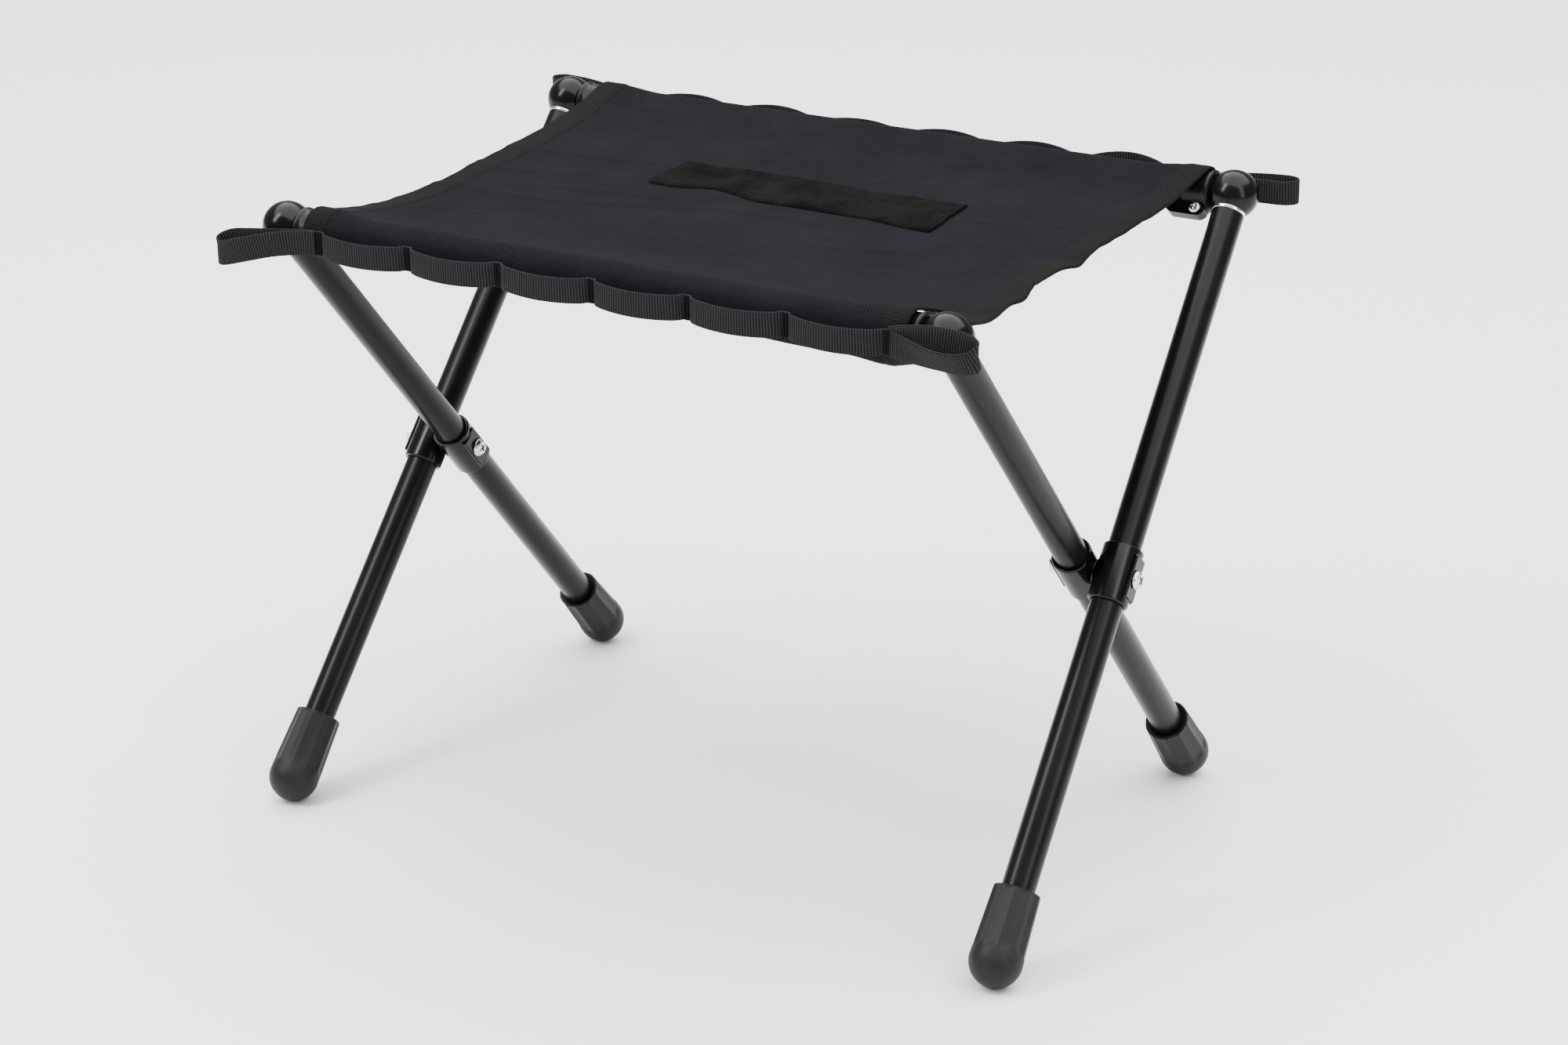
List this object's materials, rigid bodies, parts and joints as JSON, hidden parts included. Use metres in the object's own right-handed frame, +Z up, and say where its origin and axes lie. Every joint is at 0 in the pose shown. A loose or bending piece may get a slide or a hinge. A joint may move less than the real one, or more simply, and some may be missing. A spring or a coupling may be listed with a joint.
{
  "type": "camp stool",
  "caption": "Low folding camp stool: two crossed tube frames on side pivots, with a fabric seat slung between their rails and webbing loops along both rails.",
  "frame": {"origin": "on the floor under the middle of the open stool", "axes": "+X along the seat rails towards the right, +Y to the back, +Z up"},
  "size_m": [0.4388, 0.324, 0.3213],
  "materials": {
    "black_tube": "satin",
    "gloss_black": "gloss",
    "satin_black": "satin",
    "hub_black": "gloss",
    "screw_steel": "satin",
    "bright_aluminium": "bright",
    "foot_rubber": "matte",
    "seat_cloth": "matte",
    "binding_tape": "matte",
    "loop_pile": "matte",
    "webbing": "matte",
    "tack_thread": "matte"
  },
  "bodies": {
    "back_frame": {"rail_back": "black_tube", "rail_sleeve_back": "seat_cloth", "webbing_back": "webbing", "bar_tacks_back": "tack_thread", "webbing_loop_back_left": "webbing", "ball_back_left": "gloss_black", "collar_back_left": "satin_black", "lug_screw_back_left": "screw_steel", "leg_back_left": "black_tube", "leg_spigot_back_left": "bright_aluminium", "hub_sleeve_back_left": "hub_black", "foot_back_left": "foot_rubber", "pivot_bolt_left": "screw_steel", "pivot_nut_left": "screw_steel", "pivot_washer_left": "screw_steel", "webbing_loop_back_right": "webbing", "ball_back_right": "gloss_black", "collar_back_right": "satin_black", "lug_screw_back_right": "screw_steel", "leg_back_right": "black_tube", "leg_spigot_back_right": "bright_aluminium", "hub_sleeve_back_right": "hub_black", "foot_back_right": "foot_rubber", "pivot_bolt_right": "screw_steel", "pivot_nut_right": "screw_steel", "pivot_washer_right": "screw_steel", "seat_panel": "seat_cloth", "seat_binding_left": "binding_tape", "seat_binding_right": "binding_tape", "loop_strip": "loop_pile"},
    "front_frame": {"rail_front": "black_tube", "rail_sleeve_front": "seat_cloth", "webbing_front": "webbing", "bar_tacks_front": "tack_thread", "webbing_loop_front_left": "webbing", "ball_front_left": "gloss_black", "collar_front_left": "satin_black", "lug_screw_front_left": "screw_steel", "leg_front_left": "black_tube", "leg_spigot_front_left": "bright_aluminium", "hub_sleeve_front_left": "hub_black", "foot_front_left": "foot_rubber", "webbing_loop_front_right": "webbing", "ball_front_right": "gloss_black", "collar_front_right": "satin_black", "lug_screw_front_right": "screw_steel", "leg_front_right": "black_tube", "leg_spigot_front_right": "bright_aluminium", "hub_sleeve_front_right": "hub_black", "foot_front_right": "foot_rubber"}
  },
  "joints": [
    {"name": "fold", "type": "hinge", "parent": "back_frame", "child": "front_frame", "pos_m": [0, 0, 0.15715], "axis": [-1, 0, 0], "range_deg": [0, 72], "deforming": ["seat_panel", "seat_binding_left", "seat_binding_right", "loop_strip"]}
  ]
}
